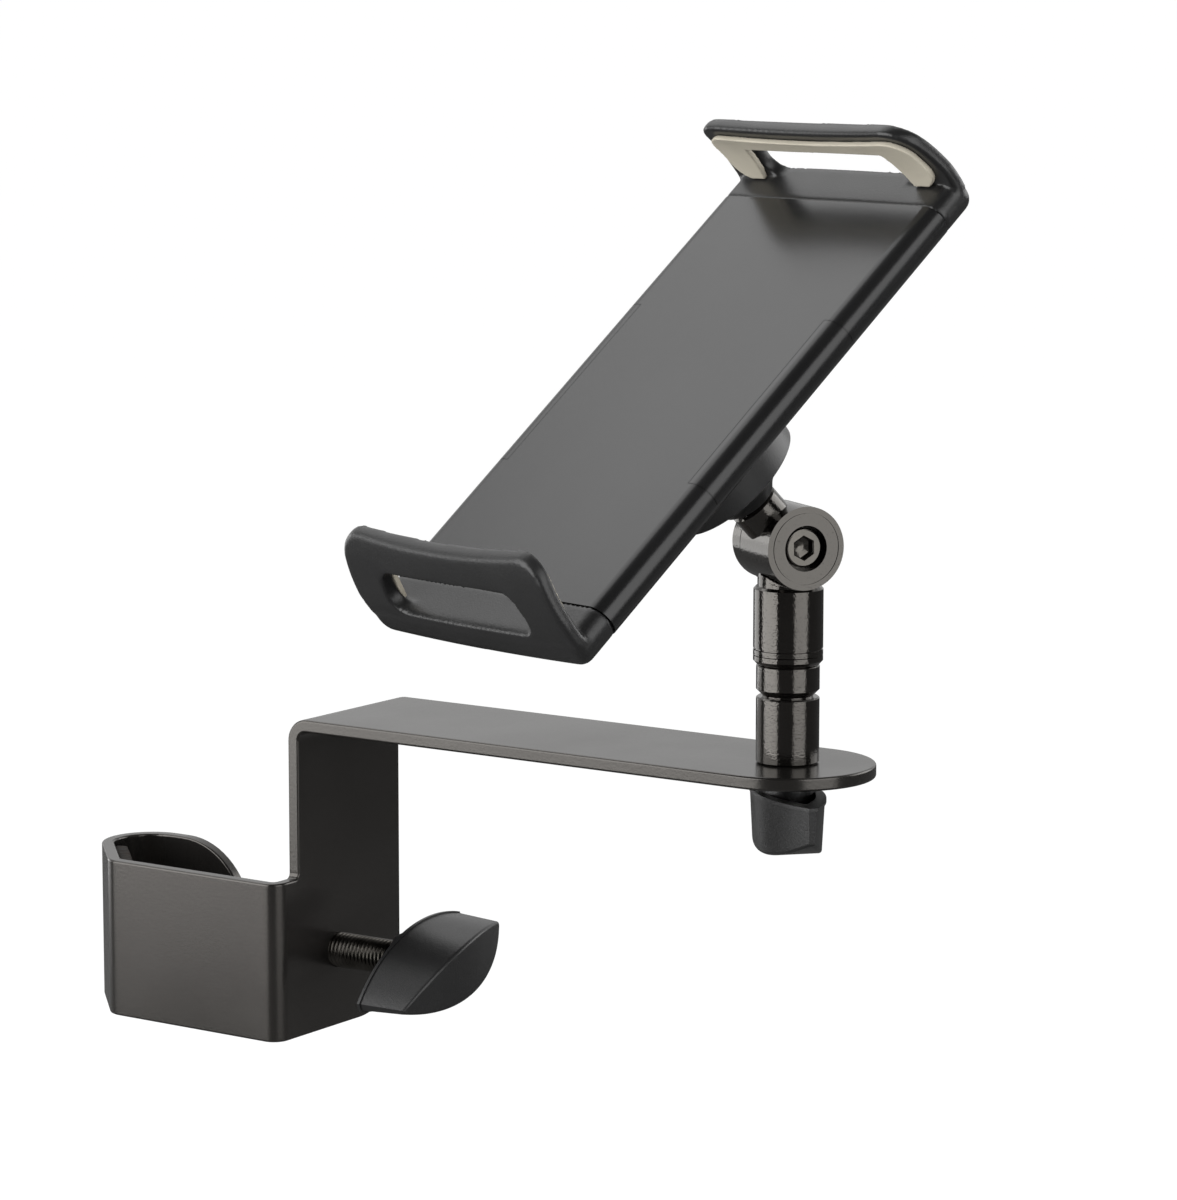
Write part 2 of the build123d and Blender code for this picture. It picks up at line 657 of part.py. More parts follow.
# Jaw: base and curved wall with a window, tongue with the rack
rack_half = math.pi * gear_module / 4 - gear_backlash / 2
slope = math.tan(math.radians(20))
rack_pts = []
for tooth in range(-12, 4):
    mid = (tooth + 0.5) * math.pi * gear_module
    rack_pts += [
        (tongue_in, mid - rack_half - 1.1 * slope),
        (pitch_r - 0.7, mid - rack_half + 0.7 * slope),
        (pitch_r - 0.7, mid + rack_half - 0.7 * slope),
        (tongue_in, mid + rack_half + 1.1 * slope),
    ]
with BuildPart() as jaw_top:
    with BuildSketch(Plane.XZ.offset(-body_l / 2)):
        with Locations((0, -body_t / 2)):
            SlotOverall(body_w, body_t)
    extrude(amount=body_l / 2 - jaw_end)
    low_end = jaw_top.edges().filter_by(Axis.X).group_by(Axis.Y)[-1].sort_by(Axis.Z)[0]
    fillet(low_end, 2.6)
    with BuildSketch(Plane.YZ):
        with Locations((wall_centre, 0)):
            Circle(wall_r)
            Circle(wall_r - wall_t, mode=Mode.SUBTRACT)
        with Locations((wall_centre + wall_r, wall_top / 2)):
            Rectangle(30, wall_top + 6, mode=Mode.INTERSECT)
    extrude(amount=body_w / 2, both=True)
    with BuildSketch(Plane.XZ.offset(-jaw_end - 5)) as jaw_outline:
        with BuildLine():
            Polyline((-half_w + 1.4, wall_knee), (-half_w, 4.0), (-half_w, -body_t - 2))
            Line((-half_w, -body_t - 2), (half_w, -body_t - 2))
            Polyline((half_w, -body_t - 2), (half_w, 4.0), (half_w - 1.4, wall_knee), (half_w - 2.8, wall_top))
            ThreePointArc((half_w - 2.8, wall_top), (0, wall_top - wall_dip), (2.8 - half_w, wall_top))
            Line((2.8 - half_w, wall_top), (-half_w + 1.4, wall_knee))
        make_face()
        fillet(jaw_outline.vertices().group_by(Axis.Z)[-1], wall_corner_r)
    extrude(amount=40, mode=Mode.INTERSECT)
    wall_edges = jaw_top.edges().filter_by(lambda e: e.center().Z > 4.5 and e.length > wall_t + 0.6)
    fillet(wall_edges, wall_edge_r)
    with BuildSketch(Plane.XZ.offset(-jaw_end - 5)) as window_cut:
        Polygon(
            (-window_low, 0), (window_low, 0), (window_high, window_top), (-window_high, window_top), align=None
        )
        fillet(window_cut.vertices().group_by(Axis.Z)[-1], 4.5)
    extrude(amount=40, mode=Mode.SUBTRACT)
    with BuildSketch(Plane.XY.offset(-skin_t - 0.3)):
        with BuildLine():
            Polyline(
                (tongue_in, body_l / 2 + 2),
                (tongue_out, body_l / 2 + 2),
                (tongue_out, tongue_end - 3),
                (tongue_in, tongue_end - 3),
                *rack_pts,
                close=True,
            )
        make_face()
    extrude(amount=-split_d + 0.3 + skin_t + 0.3)

pad_top = wall_top - jaw_pad_drop
with BuildPart() as jaw_top_pad:
    with BuildSketch(Plane.YZ):
        with Locations((wall_centre, 0)):
            Circle(wall_r - wall_t)
            Circle(wall_r - wall_t - jaw_pad_t, mode=Mode.SUBTRACT)
        with Locations((wall_centre + wall_r, wall_top / 2)):
            Rectangle(30, wall_top - 2 * run_gap, mode=Mode.INTERSECT)
    extrude(amount=body_w / 2, both=True)
    with BuildSketch(Plane.XZ.offset(-jaw_end - 5)) as pad_outline:
        with BuildLine():
            Line((5.4 - half_w, pad_top), (4.2 - half_w, wall_knee - 1))
            Polyline((4.2 - half_w, wall_knee - 1), (3.0 - half_w, 0.0), (half_w - 3.0, 0.0))
            Polyline((half_w - 3.0, 0.0), (half_w - 4.2, wall_knee - 1), (half_w - 5.4, pad_top))
            ThreePointArc((half_w - 5.4, pad_top), (0, pad_top - wall_dip), (5.4 - half_w, pad_top))
        make_face()
        fillet(pad_outline.vertices().group_by(Axis.Z)[-1], wall_corner_r - 2)
        Polygon(
            (-window_low, -1), (window_low, -1), (window_high, window_top), (-window_high, window_top),
            align=None, mode=Mode.SUBTRACT,
        )
    extrude(amount=40, mode=Mode.INTERSECT)

half_turn = Location((0, 0, 0), (0, 0, 180))
clamp_knob_place = clamp_knob_at.location
post_knob_place = post_knob_at.location
holder_place = holder_at.location

pieces = {
    "bracket": bracket.part,
    "hook_liner": hook_liner.part,
    "clamp_nut": clamp_nut.part,
    "pressure_pad": pressure_pad.part,
    "pad_face": pad_face.part,
    "clamp_screw": clamp_screw.part,
    "clamp_knob": knob_shapes[0].moved(clamp_knob_place),
    "post_stud": post_stud.part,
    "knob_washer": knob_washer.part,
    "post_screw": post_screw.part,
    "post_knob": knob_shapes[1].moved(post_knob_place),
    "knuckle_base": knuckle_base.part,
    "friction_washer": friction_washer.part,
    "pivot_nut": pivot_nut.part,
    "pivot_screw": pivot_screw.part,
    "rod_arm": rod_arm.part,
    "foot": foot.part.moved(holder_place),
    "socket_cap": socket_cap.part.moved(holder_place),
    "ball_seat": ball_seat.part.moved(holder_place),
    "front_shell": front_shell.part.moved(holder_place),
    "back_shell": back_shell.part.moved(holder_place),
    "shell_screws": shell_screws.part.moved(holder_place),
    "foot_screws": foot_screws.part.moved(holder_place),
    "side_clip_right": side_clip_right.part.moved(holder_place),
    "side_clip_left": side_clip_left.part.moved(holder_place),
    "pinion_pin": pinion_pin.part.moved(holder_place),
    "pinion": pinion.part.moved(holder_place),
    "return_spring": return_spring.part.moved(holder_place),
    "jaw_top": jaw_top.part.moved(holder_place),
    "jaw_top_pad": jaw_top_pad.part.moved(holder_place),
    "jaw_bottom": jaw_top.part.moved(holder_place * half_turn),
    "jaw_bottom_pad": jaw_top_pad.part.moved(holder_place * half_turn),
}
for name, shape in pieces.items():
    shape.label = name
    export_step(shape, "parts/" + name + ".step")
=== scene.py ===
import json
import math

import bpy
from mathutils import Matrix, Vector, noise


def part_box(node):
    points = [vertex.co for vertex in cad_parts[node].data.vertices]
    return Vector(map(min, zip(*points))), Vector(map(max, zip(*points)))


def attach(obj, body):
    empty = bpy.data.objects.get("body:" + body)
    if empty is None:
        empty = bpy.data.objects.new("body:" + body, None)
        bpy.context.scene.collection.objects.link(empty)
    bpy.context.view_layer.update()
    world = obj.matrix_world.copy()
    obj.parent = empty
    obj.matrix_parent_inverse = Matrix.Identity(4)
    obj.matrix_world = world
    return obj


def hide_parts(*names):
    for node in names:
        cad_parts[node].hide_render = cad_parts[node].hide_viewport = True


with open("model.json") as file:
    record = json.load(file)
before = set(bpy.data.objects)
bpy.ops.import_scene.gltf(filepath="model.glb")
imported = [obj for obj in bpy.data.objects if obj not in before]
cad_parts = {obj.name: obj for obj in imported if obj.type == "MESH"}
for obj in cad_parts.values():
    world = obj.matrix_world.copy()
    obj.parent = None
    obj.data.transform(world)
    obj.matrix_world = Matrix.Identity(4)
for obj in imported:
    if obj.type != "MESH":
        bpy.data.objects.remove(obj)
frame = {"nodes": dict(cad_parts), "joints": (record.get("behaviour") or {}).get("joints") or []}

nodes = frame["nodes"]
joints = {joint["name"]: joint for joint in frame["joints"]}
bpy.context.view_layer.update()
mm = 0.001
alongHolder = Vector(joints["jaw_slide"]["axis"])
holderFront = Vector(joints["holder_turn"]["axis"])
acrossHolder = alongHolder.cross(holderFront)
tiltAxis = Vector(joints["knuckle_tilt"]["axis"])
print("frame loaded:", len(nodes), "nodes")


# Small helpers for shader trees
def addNode(tree, kind, **settings):
    node = tree.nodes.new(kind)
    for name, value in settings.items():
        setattr(node, name, value)
    return node


def joinSockets(tree, source, target):
    tree.links.new(source, target)


# Fine moulding or paint grain: one group, used by every finish with its own values
grainLook = dict(sharpness=0.6, mottleDetail=3.0, mottleLow=0.3, mottleHigh=0.7)


def stretchMottle(tree, mottle):
    stretch = addNode(tree, "ShaderNodeMapRange")
    stretch.inputs["From Min"].default_value = grainLook["mottleLow"]
    stretch.inputs["From Max"].default_value = grainLook["mottleHigh"]
    joinSockets(tree, mottle.outputs["Fac"], stretch.inputs["Value"])
    return stretch


def buildGrainGroup():
    group = bpy.data.node_groups.new("fineGrain", "ShaderNodeTree")
    inputs = {
        "Grain Scale": ("NodeSocketFloat", 900.0),
        "Grain Detail": ("NodeSocketFloat", 4.0),
        "Mottle Scale": ("NodeSocketFloat", 30.0),
        "Dark": ("NodeSocketColor", (0.01, 0.01, 0.01, 1)),
        "Light": ("NodeSocketColor", (0.02, 0.02, 0.02, 1)),
        "Rough Low": ("NodeSocketFloat", 0.3),
        "Rough High": ("NodeSocketFloat", 0.4),
    }
    outputs = {"Color": "NodeSocketColor", "Roughness": "NodeSocketFloat", "Height": "NodeSocketFloat"}
    for name, (kind, value) in inputs.items():
        socket = group.interface.new_socket(name=name, in_out="INPUT", socket_type=kind)
        socket.default_value = value
    for name, kind in outputs.items():
        group.interface.new_socket(name=name, in_out="OUTPUT", socket_type=kind)
    given = addNode(group, "NodeGroupInput")
    result = addNode(group, "NodeGroupOutput")
    place = addNode(group, "ShaderNodeTexCoord")
    grain = addNode(group, "ShaderNodeTexNoise")
    grain.inputs["Roughness"].default_value = grainLook["sharpness"]
    joinSockets(group, given.outputs["Grain Detail"], grain.inputs["Detail"])
    mottle = addNode(group, "ShaderNodeTexNoise")
    mottle.inputs["Detail"].default_value = grainLook["mottleDetail"]
    for texture, size in ((grain, "Grain Scale"), (mottle, "Mottle Scale")):
        joinSockets(group, place.outputs["Object"], texture.inputs["Vector"])
        joinSockets(group, given.outputs[size], texture.inputs["Scale"])
    spread = stretchMottle(group, mottle)
    tint = addNode(group, "ShaderNodeMix", data_type="RGBA")
    joinSockets(group, spread.outputs["Result"], tint.inputs["Factor"])
    joinSockets(group, given.outputs["Dark"], tint.inputs["A"])
    joinSockets(group, given.outputs["Light"], tint.inputs["B"])
    gloss = stretchMottle(group, mottle)
    joinSockets(group, given.outputs["Rough Low"], gloss.inputs["To Min"])
    joinSockets(group, given.outputs["Rough High"], gloss.inputs["To Max"])
    joinSockets(group, tint.outputs["Result"], result.inputs["Color"])
    joinSockets(group, gloss.outputs["Result"], result.inputs["Roughness"])
    joinSockets(group, grain.outputs["Fac"], result.inputs["Height"])
    return group


grainGroup = buildGrainGroup()

finishes = {
    "satinPaint": dict(dark=(0.008, 0.0075, 0.007), light=(0.011, 0.0103, 0.0097),
                       roughLow=0.20, roughHigh=0.26, grain=1500, detail=1.0, mottle=25,
                       bump=0.16, metallic=0.0, specular=0.85, tint=(1.0, 0.95, 0.89)),
    "glossPaint": dict(dark=(0.003, 0.0027, 0.0025), light=(0.005, 0.0046, 0.0043),
                       roughLow=0.07, roughHigh=0.10, grain=2100, detail=1.0, mottle=40,
                       bump=0.40, metallic=0.0, specular=1.0, tint=(1.0, 0.95, 0.88)),
    "mouldedBlack": dict(dark=(0.009, 0.009, 0.0092), light=(0.012, 0.012, 0.0122),
                         roughLow=0.30, roughHigh=0.38, grain=1900, mottle=35,
                         bump=0.55, metallic=0.0, specular=0.6),
    "plateBlack": dict(dark=(0.008, 0.008, 0.0082), light=(0.011, 0.011, 0.0112),
                       roughLow=0.20, roughHigh=0.25, grain=2000, mottle=14,
                       bump=0.14, metallic=0.0, specular=0.54),
    "creamPad": dict(dark=(0.46, 0.425, 0.345), light=(0.52, 0.48, 0.395),
                     roughLow=0.6, roughHigh=0.72, grain=1500, mottle=60,
                     bump=0.2, metallic=0.0, specular=0.35),
    "corkRubber": dict(dark=(0.008, 0.0065, 0.0055), light=(0.03, 0.023, 0.018),
                       roughLow=0.75, roughHigh=0.95, grain=700, mottle=450,
                       bump=0.9, metallic=0.0, specular=0.3),
    "blackRubber": dict(dark=(0.012, 0.012, 0.012), light=(0.022, 0.022, 0.022),
                        roughLow=0.6, roughHigh=0.75, grain=1200, mottle=80,
                        bump=0.3, metallic=0.0, specular=0.35),
    "zincSteel": dict(dark=(0.42, 0.41, 0.39), light=(0.58, 0.57, 0.55),
                      roughLow=0.22, roughHigh=0.36, grain=1500, mottle=120,
                      bump=0.1, metallic=1.0, specular=0.5),
    "threadSteel": dict(dark=(0.05, 0.046, 0.04), light=(0.10, 0.094, 0.084),
                        roughLow=0.18, roughHigh=0.28, grain=1500, mottle=200,
                        bump=0.1, metallic=1.0, specular=0.5),
    "blackedSteel": dict(dark=(0.10, 0.095, 0.086), light=(0.17, 0.16, 0.145),
                         roughLow=0.22, roughHigh=0.34, grain=1500, mottle=90,
                         bump=0.1, metallic=1.0, specular=0.5),
    "greyNylon": dict(dark=(0.28, 0.28, 0.28), light=(0.33, 0.33, 0.33),
                      roughLow=0.4, roughHigh=0.5, grain=1200, mottle=50,
                      bump=0.1, metallic=0.0, specular=0.45),
}
usualDetail = 4.0  # grain detail and highlight tint of a finish that names none
usualTint = (1.0, 1.0, 1.0)
reliefDepth = 0.1 * mm


def buildFinish(name, values):
    material = bpy.data.materials.new(name)
    material.use_nodes = True
    tree = material.node_tree
    shader = tree.nodes["Principled BSDF"]
    shader.inputs["Metallic"].default_value = values["metallic"]
    shader.inputs["Specular IOR Level"].default_value = values["specular"]
    shader.inputs["Specular Tint"].default_value = (*values.get("tint", usualTint), 1)
    grain = addNode(tree, "ShaderNodeGroup", node_tree=grainGroup)
    grain.inputs["Grain Scale"].default_value = values["grain"]
    grain.inputs["Grain Detail"].default_value = values.get("detail", usualDetail)
    grain.inputs["Mottle Scale"].default_value = values["mottle"]
    grain.inputs["Dark"].default_value = (*values["dark"], 1)
    grain.inputs["Light"].default_value = (*values["light"], 1)
    grain.inputs["Rough Low"].default_value = values["roughLow"]
    grain.inputs["Rough High"].default_value = values["roughHigh"]
    relief = addNode(tree, "ShaderNodeBump")
    relief.inputs["Strength"].default_value = values["bump"]
    relief.inputs["Distance"].default_value = reliefDepth
    joinSockets(tree, grain.outputs["Height"], relief.inputs["Height"])
    joinSockets(tree, grain.outputs["Color"], shader.inputs["Base Color"])
    joinSockets(tree, grain.outputs["Roughness"], shader.inputs["Roughness"])
    joinSockets(tree, relief.outputs["Normal"], shader.inputs["Normal"])
    return material


materials = {name: buildFinish(name, values) for name, values in finishes.items()}

nodeFinish = {
    "satinPaint": ["bracket"],
    "glossPaint": ["post_stud", "knuckle_base", "pivot_nut", "rod_arm"],
    "mouldedBlack": ["clamp_knob", "post_knob", "foot", "jaw_top", "jaw_bottom"],
    "plateBlack": ["front_shell", "back_shell", "side_clip_left", "side_clip_right"],
    "creamPad": ["jaw_top_pad", "jaw_bottom_pad"],
    "corkRubber": ["hook_liner"],
    "blackRubber": ["pad_face", "friction_washer"],
    "zincSteel": ["pressure_pad", "clamp_screw", "knob_washer", "post_screw", "pinion_pin", "return_spring"],
    "blackedSteel": ["clamp_nut", "pivot_screw", "foot_screws", "shell_screws"],
    "greyNylon": ["ball_seat", "socket_cap", "pinion"],
}
for finish, names in nodeFinish.items():
    for name in names:
        mesh = nodes[name].data
        mesh.materials.clear()
        mesh.materials.append(materials[finish])
print("finishes on the solids:", sum(len(names) for names in nodeFinish.values()))


# Helpers for pieces made of rings of points
def newPiece(name, points, faces, finish, body, smooth=True):
    mesh = bpy.data.meshes.new(name)
    mesh.from_pydata([tuple(point) for point in points], [], faces)
    mesh.materials.append(materials[finish])
    mesh.update()
    for face in mesh.polygons:
        face.use_smooth = smooth
    piece = bpy.data.objects.new(name, mesh)
    bpy.context.scene.collection.objects.link(piece)
    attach(piece, body)
    return piece


def ringAngle(side, sides):
    return 2 * math.pi * side / sides


def joinRings(faces, first, ringCount, sides):
    for ring in range(ringCount - 1):
        start = first + ring * sides
        for side in range(sides):
            following = (side + 1) % sides
            faces.append((start + side, start + following, start + sides + following, start + sides + side))


def joinTippedRings(faces, tip, ringCount, sides):  # one point before the first ring, one after the last
    joinRings(faces, tip + 1, ringCount, sides)
    last = tip + 1 + (ringCount - 1) * sides
    for side in range(sides):
        following = (side + 1) % sides
        faces.append((tip, tip + 1 + following, tip + 1 + side))
        faces.append((last + side, last + following, last + sides))


# Clamp screw: a plain nose in the pad's cup, then the cut thread up into the knob
clampScrew = dict(radius=4.78 * mm, depth=0.7 * mm, pitch=1.25 * mm, grooveHalf=0.42, leadPitches=1.2,
                  leadCut=0.6, noseRadius=3.5 * mm, nosePastCup=0.6 * mm, threadInKnob=3.0 * mm,
                  sides=40, stepsPerPitch=8)


def buildClampScrew():
    values = clampScrew
    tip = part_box("clamp_screw")[0].x
    centre = Vector(joints["clamp_turn"]["pos_m"])
    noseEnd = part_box("pressure_pad")[1].x + values["nosePastCup"]
    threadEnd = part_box("clamp_knob")[0].x + values["threadInKnob"]
    pitch, sides = values["pitch"], values["sides"]

    def threadRadius(x, side):
        lead = min(1.0, (x - noseEnd) / (values["leadPitches"] * pitch))
        phase = ((x - noseEnd) / pitch - side / sides) % 1.0
        groove = max(0.0, 1.0 - abs(phase - 0.5) / values["grooveHalf"])
        return values["radius"] - values["depth"] * (groove * lead + values["leadCut"] * (1 - lead))

    rings = [(x, [radius] * sides) for x, radius in
             ((tip, 0.0), (tip, values["noseRadius"]), (noseEnd, values["noseRadius"]))]
    count = round((threadEnd - noseEnd) / pitch * values["stepsPerPitch"])
    for step in range(count + 1):
        x = noseEnd + (threadEnd - noseEnd) * step / count
        rings.append((x, [threadRadius(x, side) for side in range(sides)]))
    points = []
    for x, radii in rings:
        for side, radius in enumerate(radii):
            angle = ringAngle(side, sides)
            points.append(Vector((x, centre.y + radius * math.cos(angle), centre.z + radius * math.sin(angle))))
    faces = []
    joinRings(faces, 0, len(rings), sides)
    last = (len(rings) - 1) * sides
    faces.append(tuple(last + side for side in reversed(range(sides))))
    screw = newPiece("clampScrewThread", points, faces, "threadSteel", "clamp_handle")
    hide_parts("clamp_screw")


buildClampScrew()
print("clamp screw cut")


# Moulded and rubber pieces: the solid's mesh gets a new skin with relaxed edges,
# the jaws' end walls are crowned, and rubber faces are a little uneven
softPieces = {
    "jawUpperMoulded": dict(node="jaw_top", body="upper_jaw", finish="mouldedBlack", slot="black_plastic",
                            skin=0.50 * mm, relax=16, crown=0.8 * mm),
    "jawLowerMoulded": dict(node="jaw_bottom", body="lower_jaw", finish="mouldedBlack", slot="black_plastic",
                            skin=0.50 * mm, relax=16, crown=-0.8 * mm),
    "jawPadUpper": dict(node="jaw_top_pad", body="upper_jaw", finish="creamPad", slot="cream_rubber",
                        skin=0.30 * mm, relax=5, lump=60, lumpHeight=0.02 * mm),
    "jawPadLower": dict(node="jaw_bottom_pad", body="lower_jaw", finish="creamPad", slot="cream_rubber",
                        skin=0.30 * mm, relax=5, lump=60, lumpHeight=0.02 * mm),
    "hookLiner": dict(node="hook_liner", body="base", finish="corkRubber", slot="liner_rubber",
                      skin=0.45 * mm, relax=4, lump=700, lumpHeight=0.16 * mm),
}
relaxFactor = 0.5
crownEdge = 1.5  # how soon a wall counts as the outer one


def crownWall(shape, normals, crown):
    spots = [vertex.co.dot(acrossHolder) for vertex in shape.vertices]
    middle, half = (max(spots) + min(spots)) / 2, (max(spots) - min(spots)) / 2
    outward = alongHolder if crown > 0 else -alongHolder
    for vertex, normal, spot in zip(shape.vertices, normals, spots):
        facing = max(0.0, normal.dot(outward))
        swell = max(0.0, 1 - ((spot - middle) / half) ** 2)
        vertex.co += outward * abs(crown) * swell * min(1.0, facing * crownEdge)


def buildSoftPiece(name, values):
    piece = bpy.data.objects.new(name, nodes[values["node"]].data.copy())
    bpy.context.scene.collection.objects.link(piece)
    skin = piece.modifiers.new("skin", "REMESH")
    skin.mode = "VOXEL"
    skin.voxel_size = values["skin"]
    relax = piece.modifiers.new("relax", "SMOOTH")
    relax.factor = relaxFactor
    relax.iterations = values["relax"]
    shape = bpy.data.meshes.new_from_object(piece.evaluated_get(bpy.context.evaluated_depsgraph_get()))
    piece.modifiers.clear()
    piece.data = shape
    normals = [vertex.normal.copy() for vertex in shape.vertices]
    if "lump" in values:
        for vertex, normal in zip(shape.vertices, normals):
            vertex.co += normal * values["lumpHeight"] * noise.noise(vertex.co * values["lump"])
    if "crown" in values:
        crownWall(shape, normals, values["crown"])
    shape.materials.clear()
    shape.materials.append(materials[values["finish"]])
    for face in shape.polygons:
        face.use_smooth = True
    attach(piece, values["body"])
    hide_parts(values["node"])


for name, values in softPieces.items():
    buildSoftPiece(name, values)
print("soft pieces:", len(softPieces))


# Turned pieces: a closed outline of (radius, height) swept round an axis
turnedSides = 72


def sweepOutline(name, outline, centre, axis, finish, body):
    turn = Vector((0, 0, 1)).rotation_difference(axis).to_matrix()
    count = len(outline)
    points, faces = [], []
    for side in range(turnedSides):
        angle = ringAngle(side, turnedSides)
        for radius, height in outline:
            points.append(centre + turn @ Vector((radius * math.cos(angle), radius * math.sin(angle), height)))
        here, there = side * count, (side + 1) % turnedSides * count
        for step in range(count):
            after = (step + 1) % count
            faces.append((here + step, here + after, there + after, there + step))
    return newPiece(name, points, faces, finish, body)


# Rubber face of the pressure pad: rounded rim and ring grooves
padFace = dict(radius=8.1 * mm, thick=1.2 * mm, edge=0.45 * mm, edgeSteps=6, bore=0.6 * mm,
               grooves=3, grooveDepth=0.3 * mm, grooveSteps=8)


def buildPadFace():
    values = padFace
    low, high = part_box("pad_face")
    centre = Vector((high.x, (low.y + high.y) / 2, (low.z + high.z) / 2))
    radius, top, edge = values["radius"], values["thick"], values["edge"]
    outline = [(values["bore"], 0.0), (radius, 0.0), (radius, top - edge)]
    for step in range(1, values["edgeSteps"]):
        angle = math.pi / 2 * step / values["edgeSteps"]
        outline.append((radius - edge + edge * math.cos(angle), top - edge + edge * math.sin(angle)))
    steps = values["grooves"] * values["grooveSteps"]
    span = (radius - edge - values["bore"]) / steps
    for step in range(steps + 1):
        wave = max(0.0, -math.cos(2 * math.pi * step / values["grooveSteps"]))
        outline.append((radius - edge - span * step, top - values["grooveDepth"] * wave ** 2))
    piece = sweepOutline("padFaceGrooved", outline, centre, Vector((-1, 0, 0)), "blackRubber", "pad")
    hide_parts("pad_face")


# Washer between the two halves of the knuckle
tiltWasher = dict(radius=9.6 * mm, bore=3.3 * mm, thick=0.68 * mm, edge=0.2 * mm)


def buildTiltWasher():
    values = tiltWasher
    low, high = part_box("friction_washer")
    radius, bore, top, edge = values["radius"], values["bore"], values["thick"], values["edge"]
    centre = (Vector(low) + Vector(high)) / 2 - tiltAxis * top / 2
    outline = [(bore, 0.0), (radius - edge, 0.0), (radius, edge),
               (radius, top - edge), (radius - edge, top), (bore, top)]
    piece = sweepOutline("tiltWasher", outline, centre, tiltAxis, "blackRubber", "sleeve")
    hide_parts("friction_washer")


buildPadFace()
buildTiltWasher()
print("rubber face and washer turned")


# Pivot screw: cylinder head with a bevelled rim and a hexagon socket, on its plain shank
pivotScrew = dict(headRadius=4.85 * mm, seat=3.6 * mm, headTop=8.5 * mm, bevel=0.45 * mm, rimShare=0.3,
                  shank=3.0 * mm, socket=2.5 * mm, socketLead=0.3 * mm, socketDepth=2.6 * mm,
                  drillShare=0.55, drillEdge=0.5 * mm, drillTip=0.8 * mm, sides=96)


def hexReach(apothem, angle):
    return apothem / math.cos((angle + math.pi / 6) % (math.pi / 3) - math.pi / 6)


def buildPivotScrew():
    values = pivotScrew
    centre = Vector(joints["knuckle_tilt"]["pos_m"])
    spots = [(vertex.co - centre).dot(tiltAxis) for vertex in nodes["pivot_screw"].data.vertices]
    headSide = 1 if sum(spots) > 0 else -1
    outward, tail = tiltAxis * headSide, min(spot * headSide for spot in spots)
    turn = Vector((0, 0, 1)).rotation_difference(outward).to_matrix()
    head, top, seat, shank = values["headRadius"], values["headTop"], values["seat"], values["shank"]
    rim, bevel = values["bevel"] * values["rimShare"], values["bevel"]
    socket, lead, floor = values["socket"], values["socketLead"], top - values["socketDepth"]
    roundRings = [(shank, tail), (shank, seat), (head, seat), (head, top - bevel),
                  (head - rim, top - rim), (head - bevel, top)]
    hexRings = [(socket + lead, top), (socket, top - lead), (socket, floor)]
    sides = values["sides"]
    angles = [ringAngle(side, sides) for side in range(sides)]
    rings = [([radius] * sides, height) for radius, height in roundRings]
    rings += [([hexReach(reach, angle) for angle in angles], height) for reach, height in hexRings]
    rings.append(([socket * values["drillShare"]] * sides, floor - values["drillEdge"]))
    points = [centre + outward * tail]
    for reaches, height in rings:
        for reach, angle in zip(reaches, angles):
            points.append(centre + turn @ Vector((reach * math.cos(angle), reach * math.sin(angle), height)))
    points.append(centre + outward * (floor - values["drillTip"]))
    faces = []
    joinTippedRings(faces, 0, len(rings), sides)
    piece = newPiece("pivotScrewSocket", points, faces, "blackedSteel", "sleeve", smooth=False)
    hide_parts("pivot_screw")


buildPivotScrew()
print("pivot screw done")


# Shell screws on the back: domed heads with a cross recess
shellScrew = dict(radius=2.45 * mm, headHeight=1.3 * mm, dome=0.45 * mm, domePower=2.5, crossArm=1.5 * mm,
                  crossHalf=0.32 * mm, crossDepth=0.8 * mm, crossRise=0.4, rimBand=0.1 * mm,
                  rings=18, sides=72)
sameSpot = 0.001 * mm


def headHeight(x, y):
    values = shellScrew
    away = math.hypot(x, y) / values["radius"]
    height = values["headHeight"] - values["dome"] * away ** values["domePower"]
    for along, across in ((x, y), (y, x)):
        if abs(along) < values["crossArm"] and abs(across) < values["crossHalf"]:
            depth = values["crossDepth"] * (1 - values["crossRise"] * abs(along) / values["crossArm"])
            height = min(height, values["headHeight"] - depth)
    return height


# The node holds all four screws: its points are sorted into one list for each
def splitSolids(mesh):
    parent = list(range(len(mesh.vertices)))

    def root(index):
        while parent[index] != index:
            parent[index] = parent[parent[index]]
            index = parent[index]
        return index

    keys = {}
    for vertex in mesh.vertices:
        key = tuple(round(value / sameSpot) for value in vertex.co)
        parent[vertex.index] = root(keys.setdefault(key, vertex.index))
    for edge in mesh.edges:
        a, b = root(edge.vertices[0]), root(edge.vertices[1])
        parent[a] = b
    groups = {}
    for vertex in mesh.vertices:
        groups.setdefault(root(vertex.index), []).append(vertex.co.copy())
    return list(groups.values())


def buildShellScrews():
    values = shellScrew
    sides = values["sides"]
    points, faces = [], []
    for solid in splitSolids(nodes["shell_screws"].data):
        outer = min(point.dot(holderFront) for point in solid)
        rim = [point for point in solid if point.dot(holderFront) < outer + values["rimBand"]]
        base = sum(rim, Vector()) / len(rim) + holderFront * values["headHeight"]
        tip = len(points)
        points.append(base - holderFront * headHeight(0, 0))
        for ring in range(1, values["rings"] + 1):
            radius = values["radius"] * ring / values["rings"]
            for side in range(sides):
                angle = ringAngle(side, sides)
                x, y = radius * math.cos(angle), radius * math.sin(angle)
                points.append(base + acrossHolder * x + alongHolder * y - holderFront * headHeight(x, y))
        for side in range(sides):
            angle = ringAngle(side, sides)
            x, y = values["radius"] * math.cos(angle), values["radius"] * math.sin(angle)
            points.append(base + acrossHolder * x + alongHolder * y)
        points.append(base)
        joinTippedRings(faces, tip, values["rings"] + 1, sides)
    piece = newPiece("shellScrewHeads", points, faces, "blackedSteel", "holder", smooth=False)
    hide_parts("shell_screws")


